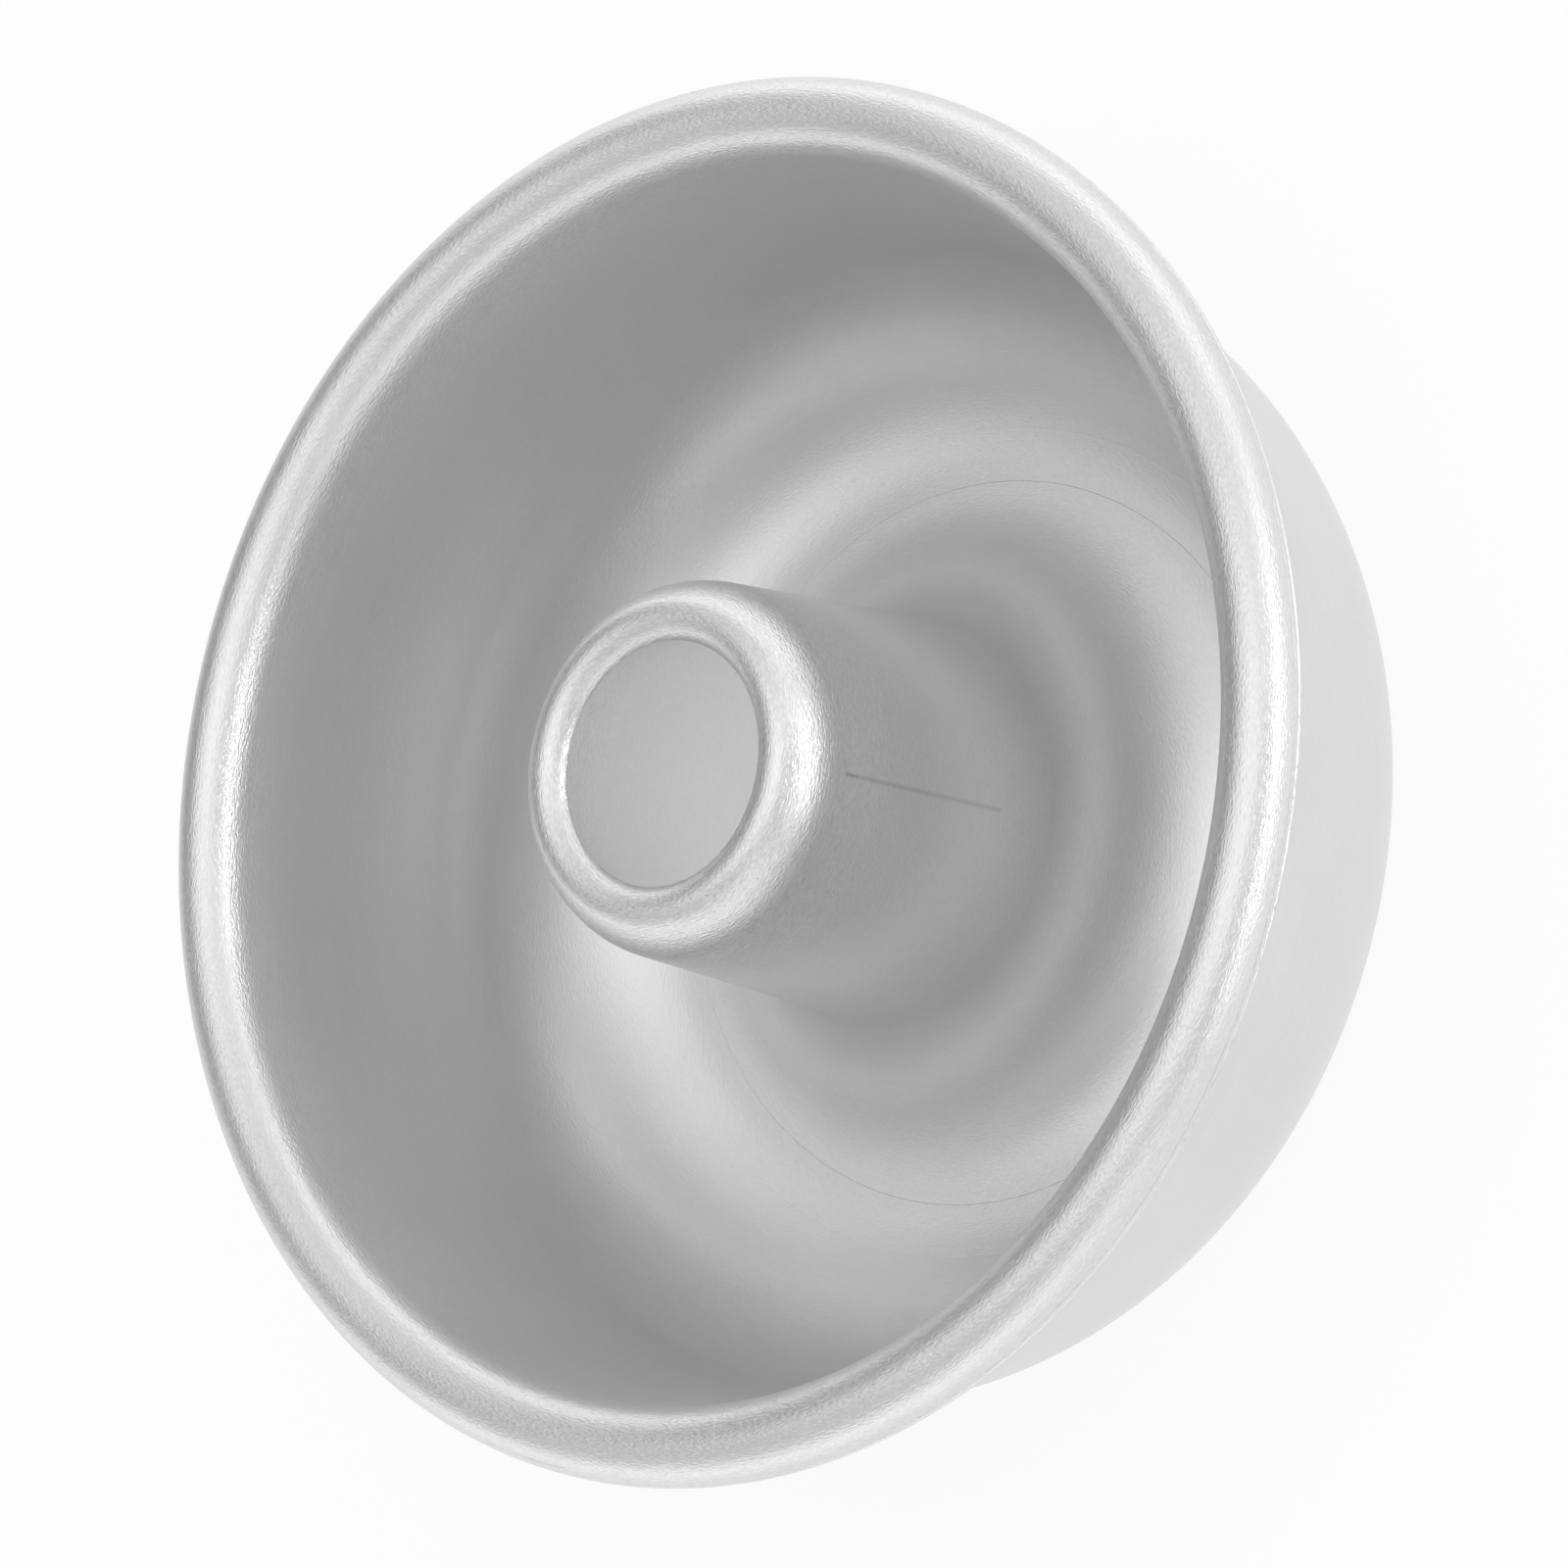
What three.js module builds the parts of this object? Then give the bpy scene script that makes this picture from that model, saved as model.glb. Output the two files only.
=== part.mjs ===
// Doughnut mould: a round baking mould of satin aluminium sheet, with an open tube in the middle.
// Millimetres, +Z up. The origin is the centre of the flat ring that the mould stands on.
import * as THREE from 'three';

// Sizes that set the pan
const rimDiameter = 112;       // across the outside of the rim bead
const rimHeight = 41;          // from the standing surface to the top of the rim bead
const beadBend = 2.1;          // inside radius of the half-round rim bead
const beadEdgeAngle = -15;     // degrees; the bead's cut edge, seen from the bead's centre
const wallTaper = 7;           // degrees; how far the wall leans out towards the rim
const wallFillet = 16;         // inside radius between the wall and the floor
const sheet = 1;               // thickness of both pressings

// Sizes that set the centre tube
const tubeHeight = 44.6;       // from the standing surface to the crest of the tube
const tubeTopDiameter = 30.2;  // across the shoulder
const tubeTaper = 3.5;         // degrees; how far the tube widens towards its foot
const shoulderRadius = 6.2;
const crownWidth = 5.4;        // from the tube's side in to the edge of the hole
const lipBend = 1.1;           // inside radius of the lip that rolls down into the hole
const lipEdgeAngle = 160;      // degrees; the lip's cut edge, seen from the lip's centre
const footFillet = 12.8;       // radius between the tube and the floor

// Sizes that set the seam between the two pressings
const flangeWidth = 0.9;       // flat rim of the tube's foot, out to the seam
const clearance = 0.3;         // between the two pressings, all along the seam
const collarWrap = 70;         // degrees; how far the collar follows the foot up inside the tube
const ledgeEdgeRadius = 0.6;   // rounded edge of the step that holds the flange

// Fineness of the facets
const turns = 52;
const arcStep = 12;            // degrees

const aluminium = { color: 0xc9cacb, roughness: 0.34, metalness: 1 };

const radians = THREE.MathUtils.degToRad;

// A profile point is (distance from the axis, height).
const point = (r, z) => new THREE.Vector2(r, z);

const polar = (centre, radius, degrees) =>
  point(centre.x + radius * Math.cos(radians(degrees)), centre.y + radius * Math.sin(radians(degrees)));

function arc(centre, radius, from, to) {
  const clockwise = to < from;
  const curve = new THREE.EllipseCurve(
    centre.x, centre.y, radius, radius, radians(from), radians(to), clockwise);
  return curve.getPoints(Math.max(2, Math.ceil(Math.abs(to - from) / arcStep)));
}

// Outside radii of the two rolled edges
const beadRadius = beadBend + sheet;
const lipRadius = lipBend + sheet;

// Heights that stack up from the standing surface
const ledgeTop = sheet;
const flangeBottom = ledgeTop + clearance;
const floorTop = flangeBottom + sheet;
const floorBottom = floorTop - sheet;

// Where the tube's arcs lie. The lip rolls inside the shoulder and the foot runs out flat into the floor.
function tubeLayout() {
  const holeRadius = tubeTopDiameter / 2 - crownWidth;
  const lip = point(holeRadius - lipRadius * Math.cos(radians(lipEdgeAngle)), tubeHeight - lipRadius);
  const shoulderAcross = tubeTopDiameter / 2 - shoulderRadius;
  const reach = shoulderRadius - lipRadius;
  const rise = Math.sqrt(reach ** 2 - (lip.x - shoulderAcross) ** 2);
  const shoulder = point(shoulderAcross, lip.y - rise);
  const joinAngle = THREE.MathUtils.radToDeg(Math.atan2(rise, lip.x - shoulderAcross));

  const taper = radians(tubeTaper);
  const wallOffset = Math.cos(taper) * shoulder.x + Math.sin(taper) * shoulder.y + shoulderRadius;
  const footHeight = floorTop + footFillet;
  const footAcross = (wallOffset + footFillet - Math.sin(taper) * footHeight) / Math.cos(taper);
  const seamRadius = footAcross + flangeWidth;
  const foot = point(footAcross, footHeight);
  return { lip, shoulder, joinAngle, foot, footAngle: 180 + tubeTaper, seamRadius };
}

// Where the pan's arcs lie. The wall is a straight line that touches the bead and the fillet.
function panLayout() {
  const bead = point(rimDiameter / 2 - beadRadius, rimHeight - beadRadius);
  const taper = radians(wallTaper);
  const wallOffset = Math.cos(taper) * bead.x - Math.sin(taper) * bead.y - beadRadius;
  const stepRadius = tubeLayout().seamRadius + clearance;
  const floorEdge = stepRadius + ledgeEdgeRadius;
  // The fillet may not run in past the step that holds the tube's flange.
  const widest = (wallOffset + Math.sin(taper) * floorTop - Math.cos(taper) * floorEdge) / (1 - Math.sin(taper));
  const fillet = Math.min(wallFillet, widest);
  const filletHeight = floorTop + fillet;
  const filletAcross = (wallOffset - fillet + Math.sin(taper) * filletHeight) / Math.cos(taper);
  return { bead, fillet, floorArc: point(filletAcross, filletHeight), stepRadius };
}

// The pan: bead, wall, rounded floor, and a step down to the ledge and collar that carry the tube.
function panProfile() {
  const { bead, fillet, floorArc, stepRadius } = panLayout();
  const { foot } = tubeLayout();
  const wallAngle = 180 - wallTaper;
  const collarTop = footFillet + sheet + clearance;
  const collarBottom = collarTop + sheet;
  const collarEdge = 270 - collarWrap;

  const stepEdge = point(stepRadius + ledgeEdgeRadius, floorTop - ledgeEdgeRadius);
  const underEdge = point(stepRadius + sheet - ledgeEdgeRadius, ledgeEdgeRadius);

  const upperFace = [
    ...arc(bead, beadRadius, beadEdgeAngle, wallAngle),
    ...arc(floorArc, fillet, -wallTaper, -90),
    ...arc(stepEdge, ledgeEdgeRadius, 90, 180),
    point(stepRadius, ledgeTop),
    ...arc(foot, collarTop, 270, collarEdge),
  ];
  const lowerFace = [
    ...arc(foot, collarBottom, collarEdge, 270),
    ...arc(underEdge, ledgeEdgeRadius, -90, 0),
    point(stepRadius + sheet, floorBottom),
    ...arc(floorArc, fillet + sheet, -90, -wallTaper),
    ...arc(bead, beadBend, wallAngle, beadEdgeAngle),
  ];
  return [...upperFace, ...lowerFace];
}

// The tube: foot flange, foot, tapered wall, shoulder, and a lip rolled down into the hole.
function tubeProfile() {
  const { lip, shoulder, joinAngle, foot, footAngle, seamRadius } = tubeLayout();
  const outerFace = [
    point(seamRadius, floorTop),
    ...arc(foot, footFillet, 270, footAngle),
    ...arc(shoulder, shoulderRadius, tubeTaper, joinAngle),
    ...arc(lip, lipRadius, joinAngle, lipEdgeAngle).slice(1),
  ];
  const innerFace = [
    ...arc(lip, lipBend, lipEdgeAngle, joinAngle),
    ...arc(shoulder, shoulderRadius - sheet, joinAngle, tubeTaper).slice(1),
    ...arc(foot, footFillet + sheet, footAngle, 270),
    point(seamRadius, flangeBottom),
  ];
  return [...outerFace, ...innerFace];
}

// A pressing is its closed profile turned about the axis.
function pressing(name, profile) {
  const geometry = new THREE.LatheGeometry([...profile, profile[0]], turns);
  const mesh = new THREE.Mesh(geometry, new THREE.MeshStandardMaterial(aluminium));
  mesh.name = name;
  return mesh;
}

const mould = new THREE.Group();
mould.add(pressing('pan_body', panProfile()));
mould.add(pressing('centre_tube', tubeProfile()));
mould.rotation.x = Math.PI / 2;

export default mould;
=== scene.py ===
"""Doughnut mould: the two aluminium pressings in full detail, on a white studio floor."""
import math
import bpy
from mathutils import Matrix, Vector


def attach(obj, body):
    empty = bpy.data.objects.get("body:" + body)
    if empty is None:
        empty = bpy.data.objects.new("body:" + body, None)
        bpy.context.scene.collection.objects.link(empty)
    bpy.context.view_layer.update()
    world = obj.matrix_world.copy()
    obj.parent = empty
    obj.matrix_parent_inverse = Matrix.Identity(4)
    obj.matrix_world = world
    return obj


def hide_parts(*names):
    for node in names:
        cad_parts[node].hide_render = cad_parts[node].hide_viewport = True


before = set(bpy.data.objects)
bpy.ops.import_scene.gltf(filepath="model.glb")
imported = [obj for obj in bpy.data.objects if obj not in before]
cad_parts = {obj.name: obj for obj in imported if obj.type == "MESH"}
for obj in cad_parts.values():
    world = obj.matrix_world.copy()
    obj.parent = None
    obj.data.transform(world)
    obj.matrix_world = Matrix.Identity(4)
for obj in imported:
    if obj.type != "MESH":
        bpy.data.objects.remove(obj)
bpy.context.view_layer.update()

# Sizes of the pan, in millimetres and degrees
RIM_DIAMETER = 112
RIM_HEIGHT = 41
BEAD_BEND = 2.1
BEAD_EDGE_ANGLE = -15
BLEND_START = 155
BLEND_RADIUS = 5.4
WALL_TAPER = 7
WALL_FILLET = 16
SHEET = 1

# Sizes of the centre tube, in millimetres and degrees
TUBE_HEIGHT = 44.6
TUBE_TOP_DIAMETER = 30.2
TUBE_TAPER = 3.5
SHOULDER_RADIUS = 6.2
CROWN_WIDTH = 5.4
LIP_BEND = 1.1
LIP_EDGE_ANGLE = 160
FOOT_FILLET = 12.8

# The seam between the two pressings, in millimetres and degrees
FLANGE_WIDTH = 0.9
LEDGE_CLEARANCE = 0.3
SEAM_GAP = 0.005
SEAM_EDGE_RADIUS = 0.02
SEAM_GUARD = 0.05
COLLAR_WRAP = 70

# Small forms left by the press, in millimetres. A trim line is its angle on the bead, half width and depth.
CUT_EDGE_RADIUS = 0.15
DIE_LINE_RADIUS = 34.7
DIE_LINE_HALF_WIDTH = 0.12
DIE_LINE_DEPTH = 0.012
TRIM_LINES = ((-4, 0.13, 0.12), (5, 0.06, 0.06))

# Fineness of the meshes, with the angles in degrees
TURNS = 256
ARC_STEP = 3
SMALL_ARC_STEP = 30
SHARP_ANGLE = 40

MM = 0.001

BEAD_RADIUS = BEAD_BEND + SHEET
LIP_RADIUS = LIP_BEND + SHEET
FLANGE_BOTTOM = SHEET + LEDGE_CLEARANCE
FLOOR_TOP = FLANGE_BOTTOM + SHEET


def polar(centre, radius, degrees):
    """A profile point, as distance from the axis and height."""
    angle = math.radians(degrees)
    return (centre[0] + radius * math.cos(angle), centre[1] + radius * math.sin(angle))


def arc(centre, radius, start, end, step=ARC_STEP):
    """Profile points on an arc, both ends included."""
    count = max(2, math.ceil(abs(end - start) / step))
    return [polar(centre, radius, start + (end - start) * i / count) for i in range(count + 1)]


def cut_end(first, last, heading, radius=CUT_EDGE_RADIUS):
    """The end of a sheet that runs out along heading, from the corner of one face to that of the other."""
    across = heading + 90
    near = polar(polar(first, radius, across), -radius, heading)
    far = polar(polar(last, -radius, across), -radius, heading)
    first_corner = arc(near, radius, heading - 90, heading, SMALL_ARC_STEP)
    return first_corner + arc(far, radius, heading, across, SMALL_ARC_STEP)


def turn_of(length, radius):
    """The angle, in degrees, that a length takes up on an arc."""
    return math.degrees(length / radius)


def grooved_arc(centre, radius, start, end, grooves):
    """An arc with small V grooves: the angle, half width and depth of each, outwards from the centre."""
    way = 1 if end > start else -1
    points = []
    for angle, half_width, depth in grooves:
        half = way * turn_of(half_width, radius)
        points += arc(centre, radius, start, angle - 2 * half)
        points.append(polar(centre, radius, angle - half))
        points.append(polar(centre, radius + depth, angle))
        points.append(polar(centre, radius, angle + half))
        start = angle + 2 * half
    return points + arc(centre, radius, start, end)


def tube_layout():
    """Centres of the tube's arcs."""
    hole_radius = TUBE_TOP_DIAMETER / 2 - CROWN_WIDTH
    lip = (hole_radius - LIP_RADIUS * math.cos(math.radians(LIP_EDGE_ANGLE)), TUBE_HEIGHT - LIP_RADIUS)
    shoulder_across = TUBE_TOP_DIAMETER / 2 - SHOULDER_RADIUS
    reach = SHOULDER_RADIUS - LIP_RADIUS
    rise = math.sqrt(reach ** 2 - (lip[0] - shoulder_across) ** 2)
    shoulder = (shoulder_across, lip[1] - rise)
    join_angle = math.degrees(math.atan2(rise, lip[0] - shoulder_across))

    taper = math.radians(TUBE_TAPER)
    wall_offset = math.cos(taper) * shoulder[0] + math.sin(taper) * shoulder[1] + SHOULDER_RADIUS
    foot_height = FLOOR_TOP + FOOT_FILLET
    foot = ((wall_offset + FOOT_FILLET - math.sin(taper) * foot_height) / math.cos(taper), foot_height)
    return lip, shoulder, join_angle, foot


def pan_layout():
    """Centres of the pan's arcs: the bead, the wider bend from it into the wall, and the fillet."""
    bead = (RIM_DIAMETER / 2 - BEAD_RADIUS, RIM_HEIGHT - BEAD_RADIUS)
    blend = polar(bead, BEAD_RADIUS - BLEND_RADIUS, BLEND_START)
    taper = math.radians(WALL_TAPER)
    wall_offset = math.cos(taper) * blend[0] - math.sin(taper) * blend[1] - BLEND_RADIUS
    fillet_height = FLOOR_TOP + WALL_FILLET
    fillet = ((wall_offset - WALL_FILLET + math.sin(taper) * fillet_height) / math.cos(taper), fillet_height)
    return bead, blend, fillet


def pan_profile():
    """Bead, wall, rounded floor, and the step, ledge and collar that carry the tube."""
    bead, blend, fillet = pan_layout()
    foot = tube_layout()[3]
    step = foot[0] + FLANGE_WIDTH + SEAM_GAP
    wall_angle = 180 - WALL_TAPER
    die_angle = -math.degrees(math.acos((DIE_LINE_RADIUS - fillet[0]) / WALL_FILLET))
    die_line = (die_angle, DIE_LINE_HALF_WIDTH, DIE_LINE_DEPTH)
    trim_lines = [(angle, half_width, -depth) for angle, half_width, depth in TRIM_LINES]
    bead_start = BEAD_EDGE_ANGLE + turn_of(CUT_EDGE_RADIUS, BEAD_RADIUS)
    collar_top = FOOT_FILLET + SHEET + LEDGE_CLEARANCE
    collar_bottom = collar_top + SHEET
    collar_edge = 270 - COLLAR_WRAP
    step_edge = (step + SEAM_EDGE_RADIUS, FLOOR_TOP - SEAM_EDGE_RADIUS)
    under_edge = (step + SHEET - CUT_EDGE_RADIUS, CUT_EDGE_RADIUS)

    bead_end = (polar(bead, BEAD_BEND, BEAD_EDGE_ANGLE), polar(bead, BEAD_RADIUS, BEAD_EDGE_ANGLE))
    collar_end = (polar(foot, collar_top, collar_edge), polar(foot, collar_bottom, collar_edge))
    upper = cut_end(*bead_end, BEAD_EDGE_ANGLE - 90)
    upper += grooved_arc(bead, BEAD_RADIUS, bead_start, BLEND_START, trim_lines)[1:]
    upper += arc(blend, BLEND_RADIUS, BLEND_START, wall_angle)[1:]
    upper += grooved_arc(fillet, WALL_FILLET, -WALL_TAPER, -90, [die_line])
    upper.append((step_edge[0] + SEAM_GUARD, FLOOR_TOP))
    upper += arc(step_edge, SEAM_EDGE_RADIUS, 90, 180, SMALL_ARC_STEP)
    upper.append((step, SHEET))
    upper += arc(foot, collar_top, 270, collar_edge + turn_of(CUT_EDGE_RADIUS, collar_top))[:-1]
    upper += cut_end(*collar_end, collar_edge - 90)

    lower = arc(foot, collar_bottom, collar_edge + turn_of(CUT_EDGE_RADIUS, collar_bottom), 270)[1:]
    lower += arc(under_edge, CUT_EDGE_RADIUS, -90, 0, SMALL_ARC_STEP)
    lower.append((step + SHEET, FLOOR_TOP - SHEET))
    lower += arc(fillet, WALL_FILLET + SHEET, -90, -WALL_TAPER)
    lower += arc(blend, BLEND_RADIUS - SHEET, wall_angle, BLEND_START)
    lower += arc(bead, BEAD_BEND, BLEND_START, BEAD_EDGE_ANGLE + turn_of(CUT_EDGE_RADIUS, BEAD_BEND))[1:-1]
    return upper + lower


def tube_profile():
    """Foot flange, foot, tapered wall, shoulder, and the lip rolled down into the hole."""
    lip, shoulder, join_angle, foot = tube_layout()
    seam = foot[0] + FLANGE_WIDTH
    foot_angle = 180 + TUBE_TAPER

    lip_end = (polar(lip, LIP_RADIUS, LIP_EDGE_ANGLE), polar(lip, LIP_BEND, LIP_EDGE_ANGLE))
    outer = cut_end((seam, FLANGE_BOTTOM), (seam, FLOOR_TOP), 0, SEAM_EDGE_RADIUS)
    outer.append((seam - SEAM_EDGE_RADIUS - SEAM_GUARD, FLOOR_TOP))
    outer += arc(foot, FOOT_FILLET, 270, foot_angle)
    outer += arc(shoulder, SHOULDER_RADIUS, TUBE_TAPER, join_angle)
    outer += arc(lip, LIP_RADIUS, join_angle, LIP_EDGE_ANGLE - turn_of(CUT_EDGE_RADIUS, LIP_RADIUS))[1:-1]
    outer += cut_end(*lip_end, LIP_EDGE_ANGLE + 90)

    inner = arc(lip, LIP_BEND, LIP_EDGE_ANGLE - turn_of(CUT_EDGE_RADIUS, LIP_BEND), join_angle)[1:]
    inner += arc(shoulder, SHOULDER_RADIUS - SHEET, join_angle, TUBE_TAPER)[1:]
    inner += arc(foot, FOOT_FILLET + SHEET, foot_angle, 270)
    return outer + inner


def runs(profile):
    """How far each point of a profile lies along it, in metres."""
    run = 0.0
    found = []
    for i, here in enumerate(profile):
        run += math.dist(here, profile[i - 1]) * MM if i else 0
        found.append(run)
    return found


def turned(name, profile):
    """A closed profile turned about the axis. Each point knows how far it lies along the profile."""
    count = len(profile)
    verts = []
    faces = []
    for turn in range(TURNS):
        angle = 2 * math.pi * turn / TURNS
        across, along = math.cos(angle) * MM, math.sin(angle) * MM
        verts += [(r * across, r * along, z * MM) for r, z in profile]
        here = turn * count
        there = (turn + 1) % TURNS * count
        for i in range(count):
            j = (i + 1) % count
            faces.append((here + i, there + i, there + j, here + j))
    mesh = bpy.data.meshes.new(name)
    mesh.from_pydata(verts, [], faces)
    run = mesh.attributes.new("run", "FLOAT", "POINT")
    run.data.foreach_set("value", runs(profile) * TURNS)
    mesh.shade_smooth()
    mesh.set_sharp_from_angle(angle=math.radians(SHARP_ANGLE))
    piece = bpy.data.objects.new(name, mesh)
    bpy.context.collection.objects.link(piece)
    return piece


class Nodes:
    """Short ways to add and join shader nodes."""

    def __init__(self, tree):
        self.tree = tree
        tree.nodes.clear()

    def add(self, kind, **settings):
        node = self.tree.nodes.new(kind)
        for key, value in settings.items():
            setattr(node, key, value)
        return node

    def put(self, socket, value):
        if isinstance(value, bpy.types.NodeSocket):
            self.tree.links.new(value, socket)
        else:
            socket.default_value = value

    def math(self, operation, *values):
        node = self.add("ShaderNodeMath", operation=operation)
        for socket, value in zip(node.inputs, values):
            self.put(socket, value)
        return node.outputs[0]

    def vector(self, operation, *values):
        node = self.add("ShaderNodeVectorMath", operation=operation)
        for socket, value in zip(node.inputs, values):
            self.put(socket, value)
        return node.outputs["Value" if operation in ("DOT_PRODUCT", "DISTANCE") else "Vector"]

    def noise(self, where, scale, detail=2.0, roughness=0.5, fourth=None):
        node = self.add("ShaderNodeTexNoise", noise_dimensions="3D" if fourth is None else "4D")
        self.put(node.inputs["Vector"], where)
        if fourth is not None:
            self.put(node.inputs["W"], fourth)
        node.inputs["Scale"].default_value = scale
        node.inputs["Detail"].default_value = detail
        node.inputs["Roughness"].default_value = roughness
        return node.outputs["Fac"]

    def spread(self, value, low, high, smallest=0.3, largest=0.7):
        """Takes a value to the span from low to high. The span it comes from is a noise's, unless given."""
        node = self.add("ShaderNodeMapRange")
        node.inputs["From Min"].default_value = smallest
        node.inputs["From Max"].default_value = largest
        node.inputs["To Min"].default_value = low
        node.inputs["To Max"].default_value = high
        self.put(node.inputs["Value"], value)
        return node.outputs["Result"]

    def bump(self, height, distance, strength):
        node = self.add("ShaderNodeBump")
        node.inputs["Distance"].default_value = distance
        self.put(node.inputs["Height"], height)
        self.put(node.inputs["Strength"], strength)
        return node.outputs["Normal"]


# Finish of the aluminium: a finer and a coarser satin in one, with rings and grain around the axis.
# The grain grows, between two heights in metres, from the trough to the rim and the crown.
METAL_GREY = 0.72
GREY_VARIATION = 0.012
FINE_ROUGHNESS = 0.23
COARSE_ROUGHNESS = 0.6
COARSE_SHARE = 0.6
ROUGHNESS_VARIATION = 0.02
GRAIN_GROWS_FROM = 0.032
GRAIN_FULL_AT = 0.039
TROUGH_GRAIN = 0.35
CLOUDS_PER_METRE = 60
GRAIN_PER_METRE = 2200
GRAIN_SLIMNESS = 3
PAN_GRAIN_HEIGHT = 0.00006
PAN_GRAIN_TONE = 0.04
TUBE_GRAIN_HEIGHT = 0.000055
TUBE_GRAIN_TONE = 0.07
RINGS_PER_METRE = 50
RING_SLIMNESS = 80
RING_DETAIL = 3
RING_ROUGHNESS = 0.6

# Fine dark marks: the azimuth, distance from the axis and height of both ends, half width and darkness.
# The grain breaks a mark up, down to its faintest share.
MARK_FAINTEST = 0.6
TUBE_MARKS = (((9.8, 15.13, 39.1), (9.8, 16.25, 20.9), 0.3, 0.22),
              ((9.8, 15.13, 39.1), (9.8, 15.2, 37.9), 0.15, 0.3))
PAN_MARKS = (((-94.1, 55.44, 39.68), (-88.6, 55.35, 39.8), 0.07, 0.5),
             ((-89.3, 55.45, 39.66), (-85.3, 55.35, 39.79), 0.08, 0.5))


def on_surface(azimuth, across, height):
    """A place in metres, from its azimuth in degrees, and its distance from the axis and height in mm."""
    angle = math.radians(azimuth)
    return Vector((across * math.cos(angle), across * math.sin(angle), height)) * MM


def fine_mark(nodes, place, start, end, half_width):
    """How much of a straight mark is at a place, from 0 to 1."""
    start, end = on_surface(*start), on_surface(*end)
    way = end - start
    reach = nodes.vector("DOT_PRODUCT", nodes.vector("SUBTRACT", place, start), way / way.length_squared)
    reach = nodes.math("MINIMUM", nodes.math("MAXIMUM", reach, 0), 1)
    gap = nodes.vector("DISTANCE", place, nodes.vector("MULTIPLY_ADD", reach, way, start))
    return nodes.spread(gap, 1, 0, 0, half_width * MM)


def satin_aluminium(name, marks, grain_height, grain_tone):
    """Satin metal. The grain's height is in metres, and its tone is a change of grey."""
    material = bpy.data.materials.new(name)
    material.use_nodes = True
    nodes = Nodes(material.node_tree)
    place = nodes.add("ShaderNodeTexCoord").outputs["Object"]
    run = nodes.add("ShaderNodeAttribute", attribute_name="run").outputs["Fac"]

    height = nodes.add("ShaderNodeSeparateXYZ")
    nodes.put(height.inputs[0], place)
    growth = nodes.spread(height.outputs["Z"], TROUGH_GRAIN, 1, GRAIN_GROWS_FROM, GRAIN_FULL_AT)

    # Rings are very long around the axis and grain a little, and both are short along the profile.
    cloud = nodes.noise(place, CLOUDS_PER_METRE)
    ring_run = nodes.math("MULTIPLY", run, RING_SLIMNESS)
    rings = nodes.noise(place, RINGS_PER_METRE, RING_DETAIL, RING_ROUGHNESS, ring_run)
    grain_run = nodes.math("MULTIPLY", run, GRAIN_SLIMNESS)
    grain = nodes.noise(place, GRAIN_PER_METRE, fourth=grain_run)

    tone = nodes.spread(cloud, METAL_GREY - GREY_VARIATION, METAL_GREY + GREY_VARIATION)
    tone = nodes.math("ADD", tone, nodes.spread(rings, -GREY_VARIATION, GREY_VARIATION))
    tone = nodes.math("MULTIPLY_ADD", nodes.spread(grain, -grain_tone, grain_tone), growth, tone)
    for *mark, darkness in marks:
        broken = nodes.spread(grain, MARK_FAINTEST, 1)
        share = nodes.math("MULTIPLY", fine_mark(nodes, place, *mark), broken)
        tone = nodes.math("MULTIPLY", tone, nodes.math("MULTIPLY_ADD", share, -darkness, 1))
    colour = nodes.add("ShaderNodeCombineColor")
    for socket in colour.inputs:
        nodes.put(socket, tone)
    normal = nodes.bump(grain, grain_height, growth)

    mix = nodes.add("ShaderNodeMixShader")
    mix.inputs[0].default_value = COARSE_SHARE
    for socket, roughness in zip(mix.inputs[1:], (FINE_ROUGHNESS, COARSE_ROUGHNESS)):
        shader = nodes.add("ShaderNodeBsdfPrincipled")
        shader.inputs["Metallic"].default_value = 1
        nodes.put(shader.inputs["Base Color"], colour.outputs[0])
        uneven = nodes.spread(rings, roughness - ROUGHNESS_VARIATION, roughness + ROUGHNESS_VARIATION)
        nodes.put(shader.inputs["Roughness"], uneven)
        nodes.put(shader.inputs["Normal"], normal)
        nodes.put(socket, shader.outputs[0])
    output = nodes.add("ShaderNodeOutputMaterial")
    nodes.put(output.inputs["Surface"], mix.outputs[0])
    return material


# Floor, in metres
FLOOR_RADIUS = 3.0
FLOOR_SIDES = 64
FLOOR_DROP = 0.0001
FLOOR_GREY = 0.95
FLOOR_GLOW_SHARE = 0.85


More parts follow.
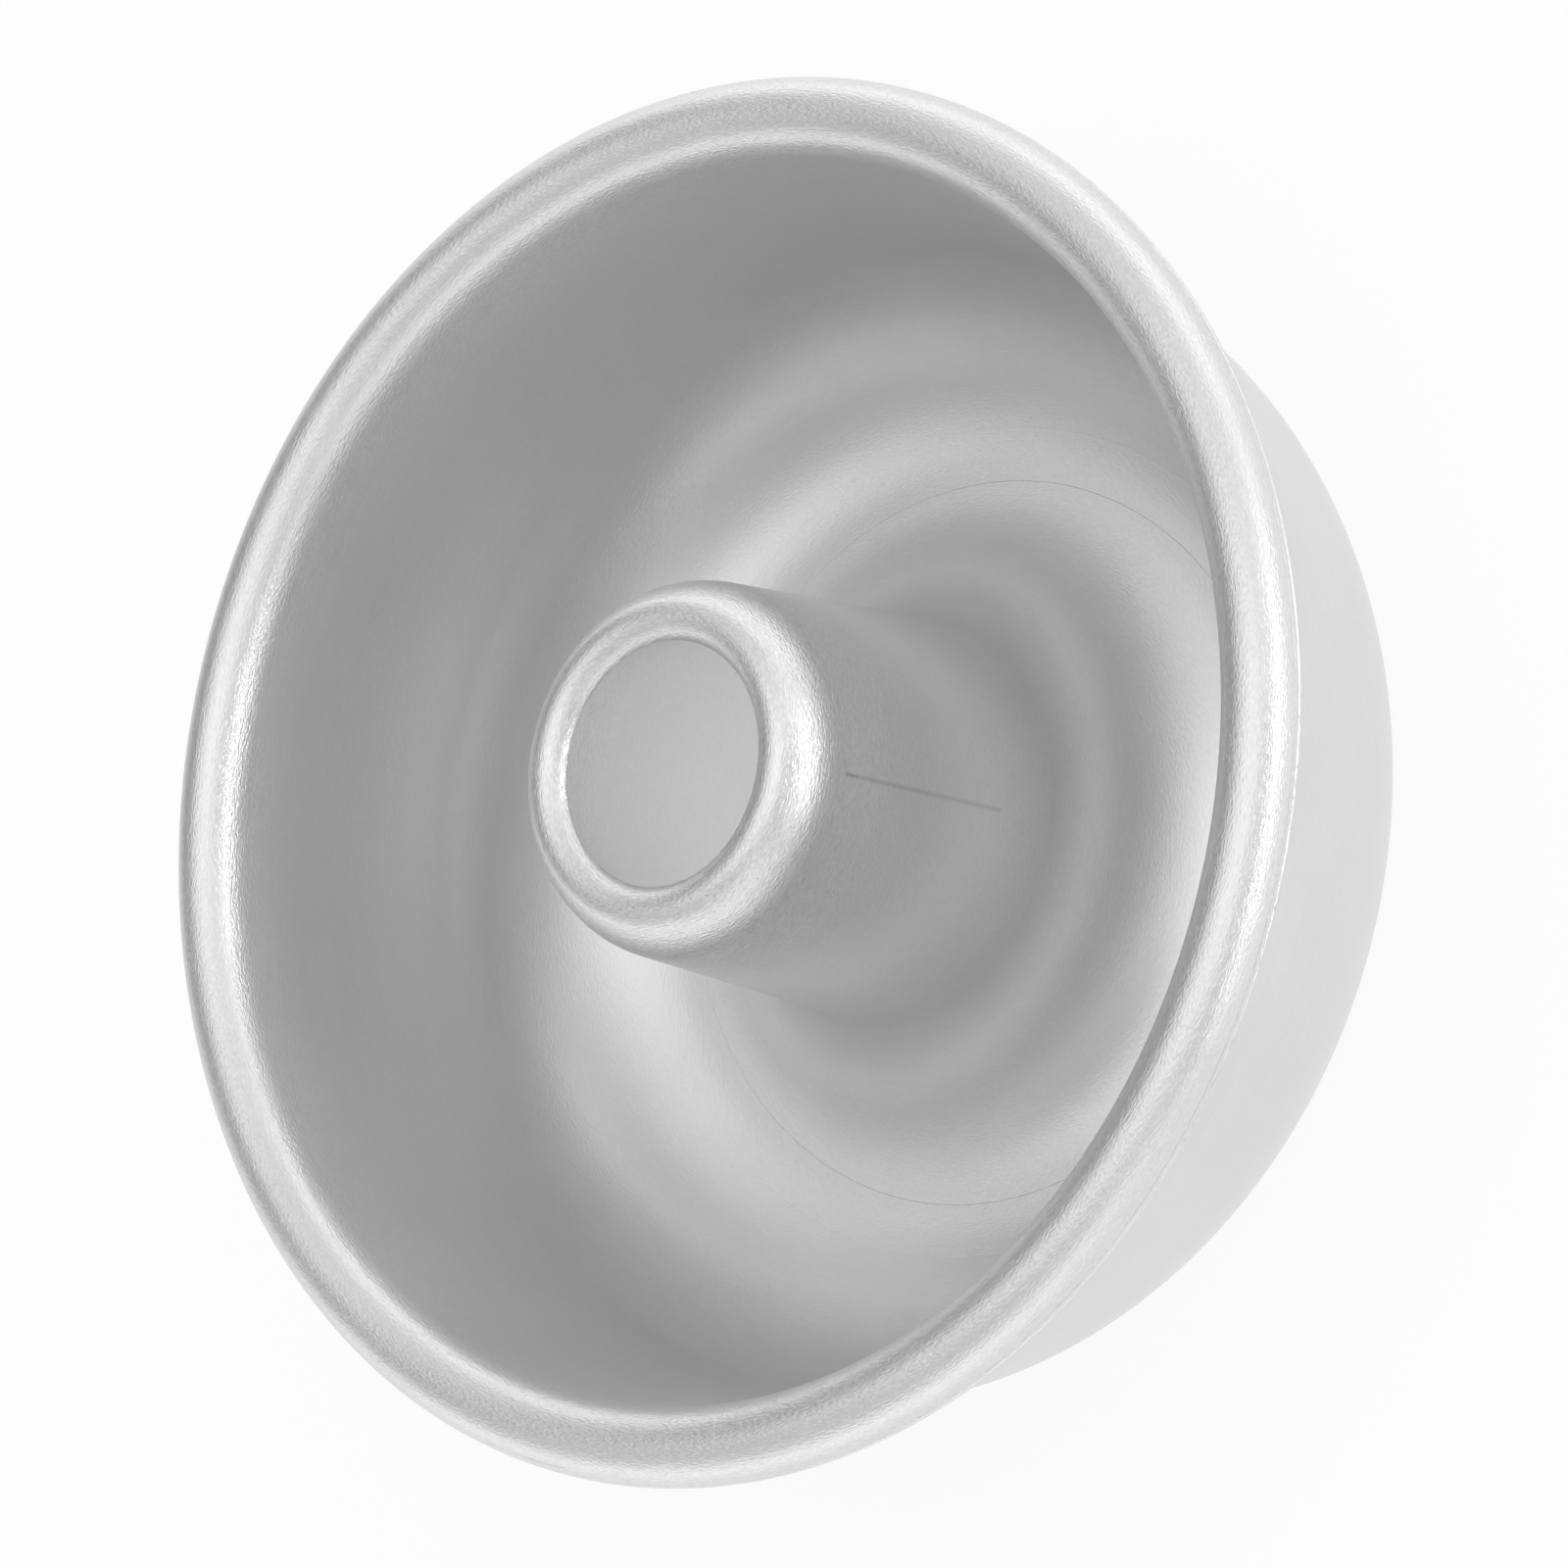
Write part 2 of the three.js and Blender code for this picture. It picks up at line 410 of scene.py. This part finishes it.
def white_floor():
    """A round white floor, which keeps some shadow under the white that the camera and the metal see."""
    mesh = bpy.data.meshes.new("studio_floor")
    angles = [2 * math.pi * i / FLOOR_SIDES for i in range(FLOOR_SIDES)]
    rim = [(FLOOR_RADIUS * math.cos(angle), FLOOR_RADIUS * math.sin(angle), 0) for angle in angles]
    mesh.from_pydata(rim, [], [tuple(range(FLOOR_SIDES))])
    floor = bpy.data.objects.new("studio_floor", mesh)
    floor.location.z = -FLOOR_DROP
    bpy.context.collection.objects.link(floor)

    material = bpy.data.materials.new("white_floor")
    material.use_nodes = True
    nodes = Nodes(material.node_tree)
    path = nodes.add("ShaderNodeLightPath").outputs
    seen = nodes.math("MAXIMUM", path["Is Camera Ray"], path["Is Glossy Ray"])
    seen = nodes.math("MAXIMUM", seen, path["Is Transmission Ray"])
    share = nodes.math("MULTIPLY", seen, FLOOR_GLOW_SHARE)
    matt = nodes.add("ShaderNodeBsdfDiffuse")
    matt.inputs["Color"].default_value = (FLOOR_GREY, FLOOR_GREY, FLOOR_GREY, 1)
    glow = nodes.add("ShaderNodeEmission")
    mix = nodes.add("ShaderNodeMixShader")
    nodes.put(mix.inputs[0], share)
    nodes.put(mix.inputs[1], matt.outputs[0])
    nodes.put(mix.inputs[2], glow.outputs[0])
    output = nodes.add("ShaderNodeOutputMaterial")
    nodes.put(output.inputs["Surface"], mix.outputs[0])
    # The glow hangs on the kind of ray, so only rays that meet the floor may count it.
    material.cycles.emission_sampling = "NONE"
    mesh.materials.append(material)


# Studio: an even surround, a brighter band along the horizon, and soft panels, bright or dark.
# Each panel is azimuth, elevation, half width and half height in degrees, and strength against white.
SURROUND = 1.05
HORIZON_GLOW = 1.1
HORIZON_SPREAD = 0.2
DARKEST = 0.02
PANEL_EDGE_POWER = 4
SOFT_PANELS = {
    "overhead": (20, 95, 20, 30, 0.85),
    "low_front": (20, 13, 30, 4.5, 6.0),
    "camera_screen": (0, 38, 25, 6.5, -3.0),
    "left_panel": (115, -5, 55, 40, 2.6),
    "right_screen": (-110, 40, 45, 50, -0.6),
    "far_screen": (130, -10, 70, 50, -2.5),
    "right_panel": (-90, 15, 70, 20, 0.45),
    "low_screen": (0, -2, 60, 10, -3.0),
}


def soft_panel(nodes, look, azimuth, elevation, half_width, half_height):
    """How much of a soft-edged panel is seen in the direction looked at, from 0 to 1."""
    a, e = math.radians(azimuth), math.radians(elevation)
    middle = Vector((math.cos(e) * math.cos(a), math.cos(e) * math.sin(a), math.sin(e)))
    level = Vector((-math.sin(a), math.cos(a), 0))
    ahead = nodes.vector("DOT_PRODUCT", look, middle)
    across = nodes.math("ARCTAN2", nodes.vector("DOT_PRODUCT", look, level), ahead)
    along = nodes.math("ARCSINE", nodes.vector("DOT_PRODUCT", look, middle.cross(level)))
    fall = 0
    for angle, half in ((across, half_width), (along, half_height)):
        share = nodes.math("ABSOLUTE", nodes.math("DIVIDE", angle, math.radians(half)))
        fall = nodes.math("SUBTRACT", fall, nodes.math("POWER", share, PANEL_EDGE_POWER))
    return nodes.math("MULTIPLY", nodes.math("EXPONENT", fall), nodes.math("GREATER_THAN", ahead, 0))


def studio():
    """The world's light, by direction alone."""
    world = bpy.data.worlds.new("studio")
    bpy.context.scene.world = world
    world.use_nodes = True
    nodes = Nodes(world.node_tree)
    look = nodes.add("ShaderNodeTexCoord").outputs["Generated"]

    split = nodes.add("ShaderNodeSeparateXYZ")
    nodes.put(split.inputs[0], look)
    rise = nodes.math("DIVIDE", split.outputs["Z"], HORIZON_SPREAD)
    fall = nodes.math("EXPONENT", nodes.math("MULTIPLY", nodes.math("MULTIPLY", rise, rise), -1))
    light = nodes.math("MULTIPLY_ADD", fall, HORIZON_GLOW, SURROUND)
    for *place, strength in SOFT_PANELS.values():
        light = nodes.math("MULTIPLY_ADD", soft_panel(nodes, look, *place), strength, light)
    light = nodes.math("MAXIMUM", light, DARKEST)

    background = nodes.add("ShaderNodeBackground")
    background.inputs["Color"].default_value = (1, 1, 1, 1)
    nodes.put(background.inputs["Strength"], light)
    output = nodes.add("ShaderNodeOutputWorld")
    nodes.put(output.inputs["Surface"], background.outputs[0])


# Camera: looks at the mould from +X and above, turned on its side as the photograph is.
# Places are in metres, angles in degrees, and the lens and sensor in millimetres.
VIEW_TARGET = (0, 0.0007, 0.0283)
VIEW_DISTANCE = 0.5113
VIEW_ELEVATION = 50.12
VIEW_ROLL = -76.2
LENS = 147.13
SENSOR = 36


def photo_camera():
    data = bpy.data.cameras.new("photo_camera")
    data.lens = LENS
    data.sensor_width = SENSOR
    camera = bpy.data.objects.new("photo_camera", data)
    bpy.context.collection.objects.link(camera)
    tilt, roll = math.radians(VIEW_ELEVATION), math.radians(VIEW_ROLL)
    back = Vector((math.cos(tilt), 0, math.sin(tilt)))
    level = Vector((0, 1, 0))
    upright = back.cross(level)
    right = level * math.cos(roll) + upright * math.sin(roll)
    up = upright * math.cos(roll) - level * math.sin(roll)
    turn = Matrix((right, up, back)).transposed()
    camera.matrix_world = Matrix.LocRotScale(Vector(VIEW_TARGET) + back * VIEW_DISTANCE, turn, None)
    bpy.context.scene.camera = camera


def mould():
    """The two pressings, each in place of its plain solid."""
    pan_metal = satin_aluminium("pan_aluminium", PAN_MARKS, PAN_GRAIN_HEIGHT, PAN_GRAIN_TONE)
    tube_metal = satin_aluminium("tube_aluminium", TUBE_MARKS, TUBE_GRAIN_HEIGHT, TUBE_GRAIN_TONE)
    shells = (("pan_shell", pan_profile(), pan_metal, "pan_body", "pan_aluminium"),
              ("tube_shell", tube_profile(), tube_metal, "centre_tube", "tube_aluminium"))
    for name, profile, metal, node, slot in shells:
        piece = turned(name, profile)
        piece.data.materials.append(metal)
        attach(piece, "root")
        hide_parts(node)


mould()
white_floor()
studio()
photo_camera()
bpy.context.scene.view_settings.view_transform = "Standard"
